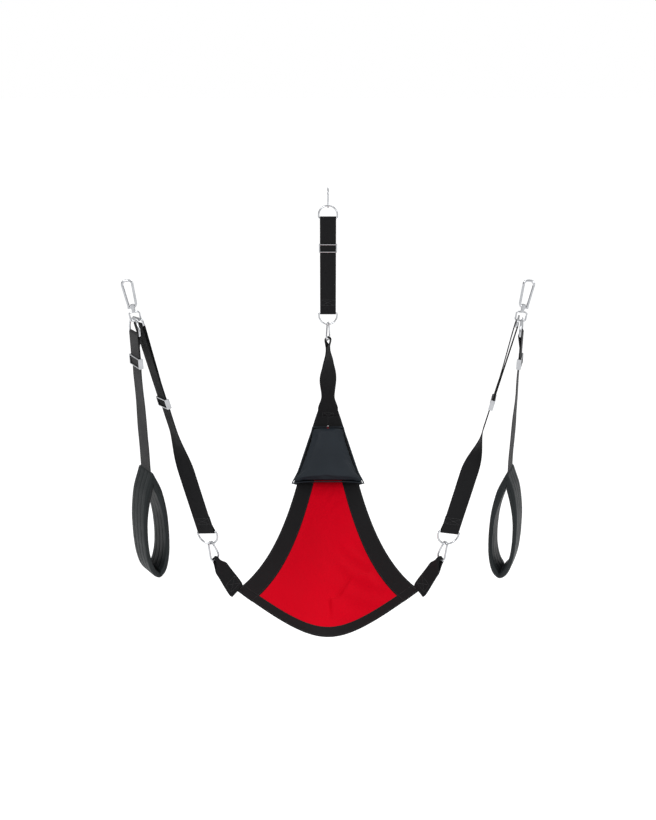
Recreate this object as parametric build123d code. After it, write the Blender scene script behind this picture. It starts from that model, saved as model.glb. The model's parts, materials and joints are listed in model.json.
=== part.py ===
from build123d import *
import os
from math import asin, cos, degrees, hypot, radians, sin, sqrt

# Three-point suspension sling, in millimetres.
# The origin is where the rear hook's bow bears on whatever holds it, inside its wide end.
# +Z is up, and the front hooks are towards -Y.

# ---- layout ----
FRONT_REACH = 660.0          # rear hook to the front hooks, along Y
HOOK_SPREAD = 447.0          # centre plane to the middle of a front hook's eye
FRONT_EYE_DROP = 200.0       # origin down to the eye's bottom wire
SWING_LENGTH = 644.0         # pivot to pivot, the same for the rear and the front links
LOOP_TIP_SPREAD = 290.0      # centre plane to the tip of a corner loop
CORNER_SPREAD = 240.0        # centre plane to a corner of the hammock
CORNER_DROP = 90.0           # corner loop's pivot down to the hammock's corner
HEIGHT_TRAVEL = 30.0         # each way, of the sling's height
STIRRUP_TRAVEL = 25.0        # each way, of a stirrup's length

# ---- snaps: the rear hook, the rear snap and the corner snaps ----
SNAP_WIRE_R = 2.5
SNAP_WIDE_R = 13.0           # centreline radius of the wide end
SNAP_NARROW_R = 7.0
SNAP_CENTRES = 35.0

# ---- front swivel hooks ----
HOOK_WIRE_R = 3.0
HOOK_TOP_HALF = 12.0         # half the bow's centreline width
HOOK_BASE_HALF = 9.0
HOOK_HEIGHT = 63.0           # base bar to bow, centreline
HOOK_BASE_UP = 33.0          # eye's bottom wire to the base bar
HOOK_LEAN = 9.0              # degrees, the top outwards
HOOK_BOW_R = 9.0
EYE_WIRE_R = 2.0
EYE_WIDTH = 24.0             # centreline width of the eye
EYE_HEIGHT = 21.0
SHANK_R = 2.5
SHANK_HEAD_R = 4.4
SHANK_HEAD_T = 2.4
HEAD_ROOM = 0.3              # round the shank's head, where the base bends up past it
SWIVEL_GAP = 0.05
BOSS_R = 5.2
BOSS_HALF = 4.0
EYE_CORNER_R = 4.5
NOSE_DROP = 10.0             # bow down to the gate's tip

# ---- gates ----
RIVET_R = 1.1
RIVET_GAP = 0.05
RIVET_PROUD = 0.2            # each head of a hinge pin, past the gate
PIN_ROOM = 0.4               # round the gate's hinged end
TONGUE_HALF = 1.0
FORK_GAP = 0.2
GATE_END_GAP = 0.5
GATE_SLOT = 11.0
SPRING_START = 3.6
SPRING_LENGTH = 6.5
SPRING_T = 0.5

# ---- rings and sliders ----
RING_WIRE_R = 2.5
RING_INNER = 50.0
RING_HEIGHT = 36.0           # bow to bar, centreline
RING_CORNER_R = 4.0
LOOP_RING_HEIGHT = 15.0
SLIDER_HEIGHT = 25.0
SLIDER_RAIL_R = 1.5
SLIDER_POST = 3.0
SLIDER_GAP = 0.3
SEAT_GAP = 0.3               # between a ring and the wire that it hangs on
EYE_SEAT_GAP = 0.6           # the same in the leaning eye
RING_SIDE = 4.8              # eye's middle to each of its two rings

# ---- webbing straps ----
WEB_WIDTH = 48.0
WEB_T = 2.0
FOLD_GAP = 0.25              # between webbing and the bar that it goes round
LAYER_GAP = 0.4
SEWN_TAIL = 45.0
REAR_DOUBLED = 89.0          # bar to slider
SIDE_DOUBLED = 200.0
STIRRUP_DOUBLED = 68.0
STRAP_END = 2.0              # from a slider to the end of a layer
BAR_ROOM = 8.0               # bar down to the running layer, at the end of its travel
SEWN_STRAIGHT = 60.0         # untwisted webbing above a lower bar
TWIST_LENGTH = 120.0         # of webbing that turns between two bars
SNAP_TURN = 68.0             # degrees, of a snap from the ring that it hangs on
# the rest are degrees inwards from fore and aft
RING_TURN = {"left": 35.0, "right": 14.0}          # side straps' upper rings
LOWER_RING_TURN = {"left": 70.0, "right": 80.0}    # side straps' lower rings
STIRRUP_TURN = {"left": 35.0, "right": 16.0}       # stirrup rings
CUFF_TURN = {"left": 39.0, "right": 23.0}

# ---- loops at the hammock's corners ----
LOOP_ROOM = 7.6              # snap wire's centre to the webbing inside the loop
LOOP_TIP_WIDTH = 12.0
CORNER_GAP = 5.0             # corner loop's end to the hammock's corner
LOOP_HEAD = 30.0             # length of a loop's head, where its two layers part
LOOP_LAYERS_MEET = 26.0
CORNER_HEAD_HALF = 22.0      # half the width at the foot of the head
TOP_HEAD_HALF = 15.0
TOP_LOOP_LENGTH = 234.0      # rear snap's wide end down to the neck
TOP_LOOP_WIDTH = 62.0
NECK_WIDTH = 64.0
WAIST_WIDTH = 42.0           # top loop at its narrowest
NECK_GAP = 1.8

# ---- stirrup cuffs ----
CUFF_TOP_DROP = 580.0        # origin down to the cuff's top
CUFF_HEIGHT = 302.0
CUFF_HALF_WIDTH = 36.5
CUFF_BAND = 68.0
CUFF_PAD_T = 13.0
CUFF_POINT = 33.8            # cuff's top down to the opening's top
# shares of the height and of the half width
CUFF_SHAPE = [(0.17, 0.62), (0.42, 0.96), (0.64, 1.0), (0.86, 0.8), (0.96, 0.5)]
CUFF_TOP_HALF = 0.1
SEWN_SLOT_GAP = 0.2          # between the strap and the cuff on each side
STRAP_IN_CUFF = 12.0         # strap's end below the top of the opening
STRAP_TURNED = 20.0          # strap's twist ends this far above the cuff

# ---- hammock ----
PANEL_T = 1.6
BAND_T = 3.0
BAND_WIDTH = 50.0
PIECE_GAP = 0.6
THIN = 0.2
SAG_SHAPE = 0.5
BANDS_PART = 0.12            # how gently the two long bands part below the neck
CUSHION_START = 0.11
CUSHION_END = 0.42
CUSHION_TOP_HALF = 49.0
CUSHION_LOW_HALF = 106.0
CUSHION_T = 18.0
FLAP_T = 3.0

WEB_MID = RING_WIRE_R + FOLD_GAP + WEB_T / 2      # bar's centre to a layer's middle
SLACK_MID = WEB_MID - WEB_T - LAYER_GAP           # the running layer lies inside the front one
RING_HALF = RING_INNER / 2 + RING_WIRE_R
SNAP_LENGTH = SNAP_WIDE_R + SNAP_CENTRES + SNAP_NARROW_R
RING_TO_SNAP = RING_WIRE_R + SNAP_WIRE_R + SEAT_GAP
BAR_TO_PIVOT = RING_HEIGHT - RING_TO_SNAP + SNAP_LENGTH
REAR_PIVOT_Z = -(SNAP_LENGTH - 2 * SNAP_WIRE_R) + RING_WIRE_R + SEAT_GAP
REAR_BAR_Z = REAR_PIVOT_Z - RING_HEIGHT
NECK_Z = REAR_PIVOT_Z - SWING_LENGTH
LOOP_PIVOT_Z = -FRONT_EYE_DROP - SWING_LENGTH
EYE_SEAT = EYE_WIRE_R + RING_WIRE_R + EYE_SEAT_GAP
TOP_PIVOT_Z = NECK_Z + TOP_LOOP_LENGTH            # centre of the snap's wire


# ---- small helpers ----
def wire_along(path, radius):
    """Round wire along a path."""
    section = Plane(origin=path @ 0, z_dir=path % 0) * Circle(radius)
    return sweep(section, path=path)


def polar(radius, angle, centre_x=0.0, centre_z=0.0):
    """A point in the XZ plane, its angle counted from +X towards +Z."""
    return Vector(centre_x + radius * cos(radians(angle)), 0, centre_z + radius * sin(radians(angle)))


def cylinder_y(radius, length, x=0.0, z=0.0):
    return Pos(x, 0, z) * Rot(90, 0, 0) * Cylinder(radius, length)


def cylinder_x(radius, length, y=0.0, z=0.0):
    return Pos(0, y, z) * Rot(0, 90, 0) * Cylinder(radius, length)


def slab(width, depth, high, low, y=0.0):
    """Box between two heights, its middle at y."""
    return Pos(0, y, (high + low) / 2) * Box(width, depth, high - low)


def smooth(t):
    t = min(max(t, 0.0), 1.0)
    return t * t * (3 - 2 * t)


def frame_at(origin, x_dir, z_dir):
    """Location of a piece's own frame, with x_dir made square to z_dir."""
    up = Vector(*z_dir).normalized()
    across = Vector(*x_dir)
    across = (across - up * across.dot(up)).normalized()
    return Plane(origin=origin, x_dir=across, z_dir=up).location


# ---- rings and sliders ----
def d_ring():
    """D-ring in the XZ plane: the top of its bow at the origin, its bar RING_HEIGHT below."""
    low = -RING_HEIGHT
    inner = RING_HALF - RING_CORNER_R
    corner_z = low + RING_CORNER_R
    bar = Line((-inner, 0, low), (inner, 0, low))
    right = ThreePointArc(bar @ 1, polar(RING_CORNER_R, -45, inner, corner_z), (RING_HALF, 0, corner_z))
    right_leg = Line(right @ 1, (RING_HALF, 0, -RING_HALF))
    bow = ThreePointArc(right_leg @ 1, (0, 0, 0), (-RING_HALF, 0, -RING_HALF))
    left_leg = Line(bow @ 1, (-RING_HALF, 0, corner_z))
    left = ThreePointArc(left_leg @ 1, polar(RING_CORNER_R, -135, -inner, corner_z), bar @ 0)
    return wire_along(Wire([bar, right, right_leg, bow, left_leg, left]), RING_WIRE_R)


def rectangle_ring(half, height, corner, radius):
    """Rectangular wire ring in the XZ plane, from z = 0 down to -height."""
    outline = Plane.XZ * Pos(0, -height / 2) * RectangleRounded(2 * half, height, corner)
    edges = outline.edges()
    bottom = edges.sort_by(Axis.Z)[0]
    section = Plane(origin=bottom @ 0.5, z_dir=(1, 0, 0)) * Circle(radius)
    return sweep(section, path=Wire(edges))


def slider():
    """Three-bar slider: two rails before the layers of webbing and one bar behind them."""
    front = -WEB_MID - WEB_T / 2 - SLIDER_GAP - SLIDER_RAIL_R
    back = -SLACK_MID + WEB_T / 2 + SLIDER_GAP + SLIDER_RAIL_R
    post_x = WEB_WIDTH / 2 + SLIDER_GAP + SLIDER_POST / 2
    rail_z = SLIDER_HEIGHT / 2 - SLIDER_RAIL_R
    depth = back - front + 2 * SLIDER_RAIL_R
    shape = cylinder_x(SLIDER_RAIL_R, 2 * post_x, back, 0)
    for z in (-rail_z, rail_z):
        shape += cylinder_x(SLIDER_RAIL_R, 2 * post_x, front, z)
    for side in (-1, 1):
        post = Pos(side * post_x, (front + back) / 2, 0) * Box(SLIDER_POST, depth, SLIDER_HEIGHT)
        shape += fillet(post.edges().filter_by(Axis.X), SLIDER_RAIL_R)
    return shape


# ---- snaps and hooks ----
def gate_set(body, pin, body_end, nose, wire_r):
    """Adds a tongue to a hook's body, and makes the gate, rivet and spring that go on it."""
    reach = body_end - pin
    tongue = cylinder_y(wire_r, 2 * TONGUE_HALF, pin.X, pin.Z)
    to_body = frame_at(pin, (0, 1, 0), (reach.X, 0, reach.Z))
    tongue += to_body * slab(2 * TONGUE_HALF, 2 * wire_r, reach.length + wire_r / 2, 0)
    body = body + tongue
    body -= cylinder_y(RIVET_R + RIVET_GAP / 2, 4 * wire_r, pin.X, pin.Z)
    length = (nose - pin).length
    gate = Pos(0, 0, -length / 2) * Cylinder(wire_r, length)
    gate += cylinder_y(wire_r, 2 * wire_r)
    gate -= Pos(0, 0, (wire_r - GATE_SLOT) / 2 + 1) * Box(
        3 * wire_r, 2 * (TONGUE_HALF + FORK_GAP), GATE_SLOT + wire_r + 2)
    gate -= cylinder_y(RIVET_R + RIVET_GAP, 4 * wire_r)
    leaf = Pos(0, 0, -SPRING_START - SPRING_LENGTH / 2) * Box(SPRING_T, 2 * TONGUE_HALF, SPRING_LENGTH)
    up = pin - nose
    here = Plane(origin=pin, x_dir=Vector(up.Z, 0, -up.X), z_dir=up).location
    rivet = cylinder_y(RIVET_R, 2 * (wire_r + RIVET_PROUD), pin.X, pin.Z)
    return {"body": body, "gate": here * gate, "rivet": rivet, "spring": here * leaf}


def snap():
    """Spring snap in the XZ plane, narrow end up, centred on its wide end. The gate is on +X."""
    flank = degrees(asin((SNAP_WIDE_R - SNAP_NARROW_R) / SNAP_CENTRES))
    nose_angle = flank - degrees(GATE_END_GAP / SNAP_WIDE_R)
    end_angle = flank + 2 * degrees(asin((SNAP_WIRE_R + PIN_ROOM) / 2 / SNAP_NARROW_R))
    wide = ThreePointArc(polar(SNAP_WIDE_R, nose_angle), polar(SNAP_WIDE_R, -90),
                         polar(SNAP_WIDE_R, 180 - flank))
    narrow = ThreePointArc(polar(SNAP_NARROW_R, 180 - flank, 0, SNAP_CENTRES),
                           polar(SNAP_NARROW_R, 100, 0, SNAP_CENTRES),
                           polar(SNAP_NARROW_R, end_angle, 0, SNAP_CENTRES))
    spine = Line(wide @ 1, narrow @ 0)
    body = wire_along(Wire([wide, spine, narrow]), SNAP_WIRE_R)
    pin = polar(SNAP_NARROW_R, flank, 0, SNAP_CENTRES)
    return gate_set(body, pin, narrow @ 1, polar(SNAP_WIDE_R, flank), SNAP_WIRE_R)


def swivel_hook():
    """Swivel hook in the XZ plane, standing on its eye's bottom wire. The gate is on -X."""
    base = HOOK_BASE_UP
    top = base + HOOK_HEIGHT
    nose = Vector(-HOOK_TOP_HALF, 0, top - NOSE_DROP)
    pin = Vector(-HOOK_BASE_HALF, 0, base)
    end = Vector(-HOOK_BASE_HALF + HOOK_WIRE_R + PIN_ROOM, 0, base)
    bow = FilletPolyline(
        (nose.X, 0, nose.Z + GATE_END_GAP),
        (-HOOK_TOP_HALF, 0, top),
        (HOOK_TOP_HALF, 0, top),
        (HOOK_BASE_HALF, 0, base),
        (end.X, 0, base),
        radius=HOOK_BOW_R)
    body = wire_along(bow, HOOK_WIRE_R)
    body += Pos(0, 0, base) * Cylinder(BOSS_R, 2 * BOSS_HALF)
    body -= Pos(0, 0, base) * Cylinder(SHANK_R + SWIVEL_GAP, 4 * BOSS_HALF)
    body -= slab_round(SHANK_HEAD_R + HEAD_ROOM, base + BOSS_HALF + 2 * SHANK_HEAD_T, base + BOSS_HALF)
    pieces = gate_set(body, pin, end, nose, HOOK_WIRE_R)
    shank_top = base + BOSS_HALF + 2 * SWIVEL_GAP + SHANK_HEAD_T
    collar_top = base - BOSS_HALF - 2 * SWIVEL_GAP
    eye = Pos(0, 0, EYE_HEIGHT) * rectangle_ring(EYE_WIDTH / 2, EYE_HEIGHT, EYE_CORNER_R, EYE_WIRE_R)
    eye += slab_round(SHANK_R, shank_top, EYE_HEIGHT)
    eye += slab_round(SHANK_HEAD_R, shank_top, shank_top - SHANK_HEAD_T)
    eye += slab_round(SHANK_HEAD_R, collar_top, EYE_HEIGHT)
    pieces["eye"] = eye
    return pieces


def slab_round(radius, high, low):
    return Pos(0, 0, (high + low) / 2) * Cylinder(radius, high - low)


# ---- webbing ----
def fold(up):
    """Webbing bent round a bar that lies along X at the origin, over it or under it."""
    shape = cylinder_x(WEB_MID + WEB_T / 2, WEB_WIDTH) - cylinder_x(WEB_MID - WEB_T / 2, WEB_WIDTH)
    reach = 2 * WEB_MID
    return shape & Pos(0, 0, up * reach / 2) * Box(WEB_WIDTH, 2 * reach, reach)


def upper_strap(doubled, travel):
    """Doubled webbing, hung from a bar at the origin: the front layer ends in the slider."""
    front_low = -(doubled + SLIDER_HEIGHT / 2 + STRAP_END)
    back_low = -(doubled - SLIDER_HEIGHT / 2 - travel - STRAP_END)
    shape = fold(1) + slab(WEB_WIDTH, WEB_T, 0, front_low, -WEB_MID)
    return shape + slab(WEB_WIDTH, WEB_T, 0, back_low, WEB_MID)


def web_section(z, angle, offset, width=WEB_WIDTH, thickness=WEB_T):
    turn = radians(angle)
    plane = Plane(origin=(0, 0, z), x_dir=(cos(turn), sin(turn), 0), z_dir=(0, 0, 1))
    return plane * Pos(0, offset) * Rectangle(width, thickness)


def running_layer(doubled, travel, low, twist, low_offset):
    """The single layer, straight where the slider runs, then twisted down to z = low."""
    high = -(travel + BAR_ROOM)
    straight_low = -(doubled + SLIDER_HEIGHT / 2 + 2 * travel + STRAP_END)
    shape = slab(WEB_WIDTH, WEB_T, high, straight_low, -SLACK_MID)
    turned_low = max(low, straight_low - TWIST_LENGTH)
    steps = 8
    sections = []
    for step in range(steps + 1):
        t = step / steps
        z = straight_low + t * (turned_low - straight_low)
        offset = -SLACK_MID + smooth(t) * (low_offset + SLACK_MID)
        sections.append(web_section(z, smooth(t) * twist, offset))
    shape += loft(sections)
    if turned_low > low:
        shape += Rot(0, 0, twist) * slab(WEB_WIDTH, WEB_T, turned_low, low, low_offset)
    return shape


def lower_strap(doubled, total, travel, twist):
    """Single webbing down to a bar at z = -total, folded round it and sewn to itself."""
    shape = running_layer(doubled, travel, SEWN_STRAIGHT - total, twist, -WEB_MID)
    end = fold(-1) + slab(WEB_WIDTH, WEB_T, SEWN_STRAIGHT, 0, -WEB_MID)
    sewn_y = -WEB_MID + WEB_T
    bend = SEWN_TAIL / 2
    end += loft([web_section(0, 0, WEB_MID), web_section(bend, 0, sewn_y)], ruled=True)
    end += slab(WEB_WIDTH, WEB_T, SEWN_TAIL, bend, sewn_y)
    return shape + Pos(0, 0, -total) * Rot(0, 0, twist) * end


def hull_of(*shapes):
    return make_hull([edge for shape in shapes for edge in shape.edges()])


def loop_head(base_half):
    """Top of a webbing loop round a snap's wire, which runs along Y through the origin."""
    outer_r = LOOP_ROOM + WEB_T
    depth = LOOP_HEAD
    outer = hull_of(Circle(outer_r), Pos(0, -depth) * Rectangle(2 * WEB_T, THIN))
    inner = hull_of(Circle(LOOP_ROOM), Pos(0, -LOOP_LAYERS_MEET) * Rectangle(THIN, THIN))
    profile = Plane.XZ * (outer - inner)
    shape = extrude(profile, amount=base_half, both=True)
    tip_half = LOOP_TIP_WIDTH / 2
    plan = Plane.YZ * make_face(Polyline(
        (-tip_half, outer_r), (tip_half, outer_r), (tip_half, 0), (base_half, -depth),
        (base_half, -depth - THIN), (-base_half, -depth - THIN), (-base_half, -depth), (-tip_half, 0),
        close=True))
    return shape & extrude(plan, amount=2 * outer_r, both=True)


def corner_loop(length):
    flat = loft([web_section(-LOOP_HEAD, 90, 0, 2 * CORNER_HEAD_HALF, 2 * WEB_T),
                 web_section(-length, 90, 0, BAND_WIDTH, 2 * WEB_T)], ruled=True)
    return loop_head(CORNER_HEAD_HALF) + flat


def top_loop(length, turn):
    """Long loop that the hammock hangs from, its webbing turned as it goes down to the neck."""
    stations = [(0.0, 2 * TOP_HEAD_HALF), (0.22, 0.92 * TOP_LOOP_WIDTH), (0.4, TOP_LOOP_WIDTH),
                (0.78, WAIST_WIDTH), (1.0, NECK_WIDTH)]
    sections = []
    for share, width in stations:
        z = -LOOP_HEAD - share * (length - LOOP_HEAD)
        sections.append(web_section(z, 90 - turn * smooth(share / 0.9), 0, width, 2 * WEB_T))
    return loop_head(TOP_HEAD_HALF) + loft(sections)


# ---- hammock ----
SPINE = [(0, 0, NECK_Z - NECK_GAP), (0, -5, NECK_Z - 169), (0, -FRONT_REACH / 2, NECK_Z - 343),
         (0, -FRONT_REACH, NECK_Z - 390)]
CORNER_Z = LOOP_PIVOT_Z - CORNER_DROP
EDGE = [(NECK_WIDTH / 2, 0, NECK_Z - NECK_GAP), (90, -20, NECK_Z - 159),
        (110, -FRONT_REACH / 2, NECK_Z - 319), (CORNER_SPREAD, -FRONT_REACH, CORNER_Z)]


def along(points, t):
    """Point of a cubic curve from its four control points."""
    shares = ((1 - t) ** 3, 3 * t * (1 - t) ** 2, 3 * t * t * (1 - t), t ** 3)
    return Vector(*(sum(s * p[i] for s, p in zip(shares, points)) for i in range(3)))


def sag(v):
    return (sqrt(SAG_SHAPE ** 2 + v * v) - SAG_SHAPE) / (sqrt(SAG_SHAPE ** 2 + 1) - SAG_SHAPE)


def cloth_point(u, v):
    """Hammock's middle surface: u runs from the neck to the front, v from side to side."""
    spine = along(SPINE, u)
    edge = along(EDGE, u)
    share = sag(v)
    return Vector(v * edge.X, spine.Y + share * (edge.Y - spine.Y), spine.Z + share * (edge.Z - spine.Z))


def lifted_point(u, v, lift):
    """The same, moved along the surface's normal, upwards for a positive lift."""
    step = 0.01
    across = cloth_point(u, v + step) - cloth_point(u, v - step)
    down = cloth_point(u + step, v) - cloth_point(u - step, v)
    return cloth_point(u, v) + down.cross(across).normalized() * lift


def half_arc(u):
    """Length of the cloth from the spine to its edge."""
    steps = 12
    points = [cloth_point(u, i / steps) for i in range(steps + 1)]
    return sum((b - a).length for a, b in zip(points, points[1:]))


def panel_share(u):
    """The share of the half width that the red panel takes: almost none near the neck."""
    share = 1 - BAND_WIDTH / half_arc(u)
    return (share + hypot(share, BANDS_PART)) / 2


def sheet(point, rows, columns, thickness):
    """Thick sheet through a grid of points: point(row share, column share)."""
    grid = [[point(r / rows, c / columns) for c in range(columns + 1)] for r in range(rows + 1)]
    return thicken(Face.make_surface_from_array_of_points(grid), amount=thickness / 2, both=True)


SPINE_RATE = 1000.0          # mm of spine for each whole u, near the front
FRONT_BAND_U = 1 - BAND_WIDTH / SPINE_RATE
PANEL_START_U = 0.1
CLOTH_END_U = FRONT_BAND_U - PIECE_GAP / SPINE_RATE


def seat_panel():
    def point(r, c):
        u = PANEL_START_U + r * (CLOTH_END_U - PANEL_START_U)
        return cloth_point(u, (2 * c - 1) * (panel_share(u) - PIECE_GAP / half_arc(u)))
    return sheet(point, 12, 8, PANEL_T)


def edge_band():
    def point(r, c):
        u = r * CLOTH_END_U
        inner = panel_share(u)
        return cloth_point(u, -(inner + c * (1 - inner)))
    return sheet(point, 12, 4, BAND_T)


def front_band():
    def point(r, c):
        return cloth_point(FRONT_BAND_U + r * (1 - FRONT_BAND_U), 2 * c - 1)
    return sheet(point, 3, 12, BAND_T)


def cushion_half(share):
    return CUSHION_TOP_HALF + share * (CUSHION_LOW_HALF - CUSHION_TOP_HALF)


def head_cushion():
    """Pad across the hammock's upper end, lying on its edges."""
    def point(r, c):
        u = CUSHION_START + r * (CUSHION_END - CUSHION_START)
        edge = along(EDGE, u)
        down = (along(EDGE, u + 0.01) - edge)
        down = Vector(0, down.Y, down.Z).normalized()
        lift = BAND_T + 2 * PIECE_GAP + CUSHION_T / 2
        normal = Vector(0, down.Z, -down.Y)
        return Vector((2 * c - 1) * cushion_half(r), edge.Y, edge.Z) + normal * lift
    return sheet(point, 8, 4, CUSHION_T)


def back_flap():
    """Back of the cushion's sleeve, under the hammock."""
    def point(r, c):
        u = CUSHION_START + r * (CUSHION_END - CUSHION_START)
        v = (2 * c - 1) * cushion_half(r) / along(EDGE, u).X
        return lifted_point(u, v, -(BAND_T / 2 + 2 * PIECE_GAP + FLAP_T / 2))
    return sheet(point, 8, 12, FLAP_T)


# ---- stirrup cuff ----
def cuff():
    """Padded foot loop, its top at the origin, its band along X."""
    def outline(inset, high):
        low = -CUFF_HEIGHT + inset
        right = [(CUFF_HALF_WIDTH * w - inset, high + (low - high) * t) for t, w in CUFF_SHAPE]
        left = [(-y, z) for y, z in reversed(right)]
        side = Spline((CUFF_TOP_HALF, high), *right, (0, low), *left, (-CUFF_TOP_HALF, high))
        return make_face(Wire([side, Line(side @ 1, side @ 0)]))
    outer = extrude(Plane.YZ * outline(0, 0), amount=CUFF_BAND / 2, both=True)
    inner = extrude(Plane.YZ * outline(CUFF_PAD_T, -CUFF_POINT), amount=CUFF_BAND, both=True)
    slot = slab(WEB_WIDTH + 2 * FOLD_GAP, WEB_T + 2 * SEWN_SLOT_GAP, CUFF_PAD_T, -CUFF_POINT - CUFF_PAD_T)
    return outer - inner - slot


# ---- assembly ----
def rear_pieces():
    pieces = {}
    hook = snap()
    upright = Pos(0, 0, -(SNAP_WIDE_R - SNAP_WIRE_R)) * Rot(0, 0, 90) * Rot(0, 180, 0)
    for name, shape in hook.items():
        pieces["rear_hook_" + name] = upright * shape
    pieces["rear_upper_ring"] = Pos(0, 0, REAR_PIVOT_Z) * d_ring()
    bar = Pos(0, 0, REAR_BAR_Z)
    total = REAR_BAR_Z - TOP_PIVOT_Z - BAR_TO_PIVOT
    pieces["rear_strap_upper"] = bar * upper_strap(REAR_DOUBLED, HEIGHT_TRAVEL)
    pieces["rear_slider"] = bar * Pos(0, 0, -REAR_DOUBLED) * slider()
    pieces["rear_strap_lower"] = bar * lower_strap(REAR_DOUBLED, total, HEIGHT_TRAVEL, 0)
    hang_snap(pieces, "rear", bar, total, 0, SNAP_TURN)
    loop_place = frame_at((0, 0, TOP_PIVOT_Z), turned(SNAP_TURN - 90), (0, 0, 1))
    pieces["top_loop"] = loop_place * top_loop(TOP_PIVOT_Z - NECK_Z - NECK_GAP, SNAP_TURN)
    return pieces


def turned(angle):
    return (cos(radians(angle)), sin(radians(angle)), 0)


def hang_snap(pieces, side, bar, total, twist, turn):
    """Lower ring and snap at the end of a strap whose upper bar is at the frame bar."""
    pieces[side + "_lower_ring"] = bar * Pos(0, 0, -total - RING_HEIGHT) * Rot(0, 0, twist) * Rot(0, 180, 0) * d_ring()
    centre = -(total + BAR_TO_PIVOT - SNAP_WIDE_R)
    for name, shape in snap().items():
        pieces[side + "_snap_" + name] = bar * Pos(0, 0, centre) * Rot(0, 0, twist + turn) * shape


def front_pieces(side):
    """One front corner, made on the left (-X) side."""
    pieces = {}
    ring_dir = turned(RING_TURN[side] - 90)
    side_twist = LOWER_RING_TURN[side] - RING_TURN[side]
    cuff_twist = CUFF_TURN[side] - STIRRUP_TURN[side]
    eye = Vector(-HOOK_SPREAD, -FRONT_REACH, -FRONT_EYE_DROP)
    lean = radians(HOOK_LEAN)
    across = Vector(cos(lean), 0, sin(lean))
    stand = frame_at(eye, across, (-sin(lean), 0, cos(lean)))
    for name, shape in swivel_hook().items():
        pieces["hook_" + name] = stand * shape
    strap_pivot = eye + across * RING_SIDE
    stirrup_pivot = eye - across * RING_SIDE

    tip = Vector(-LOOP_TIP_SPREAD, -FRONT_REACH, strap_pivot.Z - SWING_LENGTH)
    run = tip - strap_pivot
    ring_top = frame_at(strap_pivot - run.normalized() * EYE_SEAT, ring_dir, -run)
    pieces["strap_ring"] = ring_top * rectangle_ring(RING_HALF, LOOP_RING_HEIGHT, RING_CORNER_R, RING_WIRE_R)
    bar = ring_top * Pos(0, 0, -LOOP_RING_HEIGHT)
    total = run.length + EYE_SEAT - LOOP_RING_HEIGHT - BAR_TO_PIVOT
    pieces["strap_upper"] = bar * upper_strap(SIDE_DOUBLED, HEIGHT_TRAVEL)
    pieces["slider"] = bar * Pos(0, 0, -SIDE_DOUBLED) * slider()
    pieces["strap_lower"] = bar * lower_strap(SIDE_DOUBLED, total, HEIGHT_TRAVEL, side_twist)
    hang_snap(pieces, "corner", bar, total, side_twist, SNAP_TURN)

    corner = Vector(-CORNER_SPREAD, -FRONT_REACH, CORNER_Z)
    wire = Plane(bar * Rot(0, 0, side_twist + SNAP_TURN)).x_dir
    reach = corner - tip
    loop_place = frame_at(tip, wire.cross(reach), -reach)
    pieces["corner_loop"] = loop_place * corner_loop(reach.length - CORNER_GAP)

    foot_ring_top = stirrup_pivot + Vector(0, 0, EYE_SEAT)
    stirrup_dir = turned(STIRRUP_TURN[side] - 90)
    pieces["stirrup_ring"] = frame_at(foot_ring_top, stirrup_dir, (0, 0, 1)) * d_ring()
    foot_bar = foot_ring_top - Vector(0, 0, RING_HEIGHT)
    hang = frame_at(foot_bar, stirrup_dir, (0, 0, 1))
    pieces["stirrup_strap_upper"] = hang * upper_strap(STIRRUP_DOUBLED, STIRRUP_TRAVEL)
    pieces["stirrup_slider"] = hang * Pos(0, 0, -STIRRUP_DOUBLED) * slider()
    cuff_z = foot_bar.Z + CUFF_TOP_DROP
    strap_low = -cuff_z - CUFF_POINT - STRAP_IN_CUFF
    strap_turned = STRAP_TURNED - cuff_z
    strap = running_layer(STIRRUP_DOUBLED, STIRRUP_TRAVEL, strap_turned, cuff_twist, 0)
    strap += Rot(0, 0, cuff_twist) * slab(WEB_WIDTH, WEB_T, strap_turned, strap_low)
    pieces["stirrup_strap_lower"] = hang * strap
    pieces["stirrup_cuff"] = hang * Pos(0, 0, -cuff_z) * Rot(0, 0, cuff_twist) * cuff()
    return pieces


def all_pieces():
    pieces = rear_pieces()
    pieces["seat_panel"] = seat_panel()
    pieces["front_edge_band"] = front_band()
    pieces["left_edge_band"] = edge_band()
    pieces["right_edge_band"] = mirror(pieces["left_edge_band"], about=Plane.YZ)
    pieces["head_cushion"] = head_cushion()
    pieces["cushion_back_flap"] = back_flap()
    for name, shape in front_pieces("left").items():
        pieces["left_" + name] = shape
    for name, shape in front_pieces("right").items():
        pieces["right_" + name] = mirror(shape, about=Plane.YZ)
    return pieces


os.makedirs("parts", exist_ok=True)
for node, solid in all_pieces().items():
    solid.label = node
    export_step(solid, "parts/" + node + ".step")
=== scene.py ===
import json
import math
import bmesh
import bpy
from mathutils import Matrix, Vector, noise


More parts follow.
